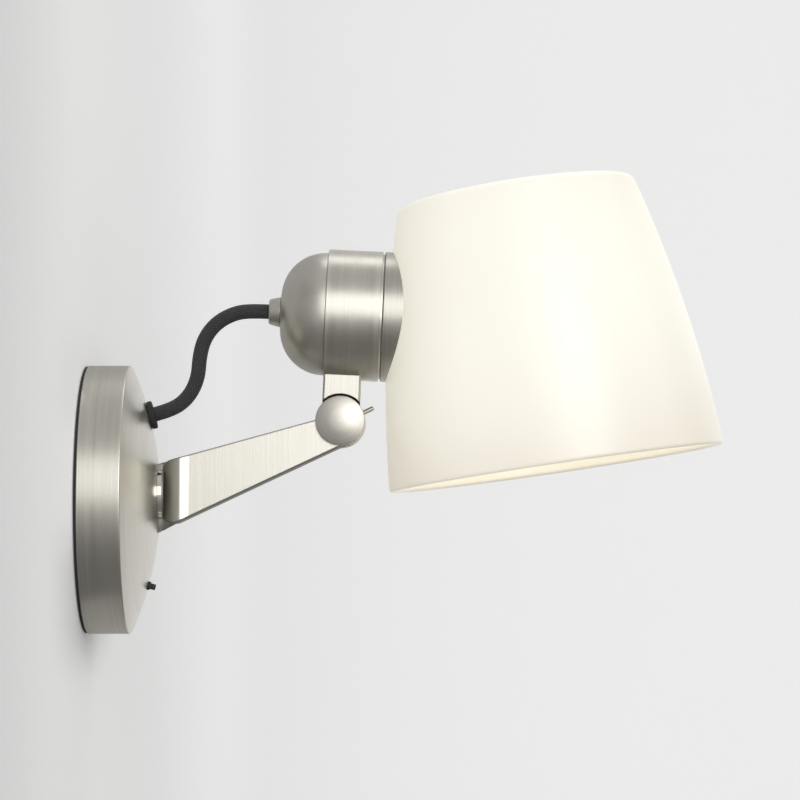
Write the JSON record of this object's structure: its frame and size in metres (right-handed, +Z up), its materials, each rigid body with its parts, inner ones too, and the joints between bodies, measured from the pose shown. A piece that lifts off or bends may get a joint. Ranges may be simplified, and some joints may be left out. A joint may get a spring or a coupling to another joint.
{
  "type": "adjustable wall lamp",
  "caption": "Wall lamp with a round brushed wall cup, a short tapered arm, a clamped pivot, a tilting head, an opal glass shade, a fabric cord and a push switch",
  "frame": {"origin": "centre of the wall cup's back, on the wall, midway between the two wall screw slots", "axes": "+X out of the wall, +Y along the wall to the left of someone who faces it, +Z up"},
  "size_m": [0.2374, 0.1258, 0.1712],
  "materials": {
    "brushed_metal": "satin brushed nickel",
    "zinc_steel": "plain zinc plating",
    "opal_glass": "opal white glass, satin outside",
    "bulb_glass": "frosted glass",
    "cord_fabric": "woven black cover",
    "black_rubber": "matt",
    "black_plastic": "fine matt",
    "white_plastic": "moulded",
    "brass": "plain"
  },
  "bodies": {
    "wall_side": {"wall_gasket": "black_rubber", "wall_plate": "zinc_steel", "wall_cup": "brushed_metal", "cup_screws": "zinc_steel", "terminal_block": "white_plastic", "terminal_screws": "brass", "earth_tag": "brass", "earth_screw": "zinc_steel", "cord_grommet": "black_rubber", "cord": "cord_fabric", "cup_cord_tail": "cord_fabric", "switch_collar": "black_plastic", "switch_body": "black_plastic", "arm": "brushed_metal", "arm_disc": "zinc_steel", "arm_washer": "zinc_steel", "arm_bolt": "zinc_steel", "pivot_bolt": "zinc_steel", "pivot_cap": "brushed_metal", "friction_washers": "white_plastic", "spring_washer": "zinc_steel"},
    "head": {"neck": "brushed_metal", "neck_screws": "zinc_steel", "housing": "brushed_metal", "rear_cap": "brushed_metal", "cord_collar": "black_plastic", "collar_nut": "zinc_steel", "shade": "opal_glass", "shade_seat": "brushed_metal", "shade_washer": "black_rubber", "clamp_ring": "white_plastic", "lampholder": "white_plastic", "screw_shell": "brass", "centre_contact": "brass", "bulb_cap": "zinc_steel", "bulb_glass": "bulb_glass", "head_cord_tail": "cord_fabric"},
    "clamp": {"clamp_knob": "brushed_metal", "lever_pin": "brushed_metal"},
    "button": {"switch_button": "black_plastic"}
  },
  "joints": [
    {"name": "head_tilt", "type": "hinge", "parent": "wall_side", "child": "head", "pos_m": [0.0946, 0, 0.0291], "axis": [0, -1, 0], "range_deg": [-5, 30], "deforming": ["cord"]},
    {"name": "clamp_turn", "type": "hinge", "parent": "wall_side", "child": "clamp", "pos_m": [0.0946, 0.01225, 0.0291], "axis": [0, 1, 0], "range_deg": [0, 90]},
    {"name": "button_push", "type": "slide", "parent": "wall_side", "child": "button", "axis": [-0.9657, 0, 0.2597], "range_m": [0, 0.0012], "stiffness_N_per_m": 400, "springref_m": -0.001}
  ]
}
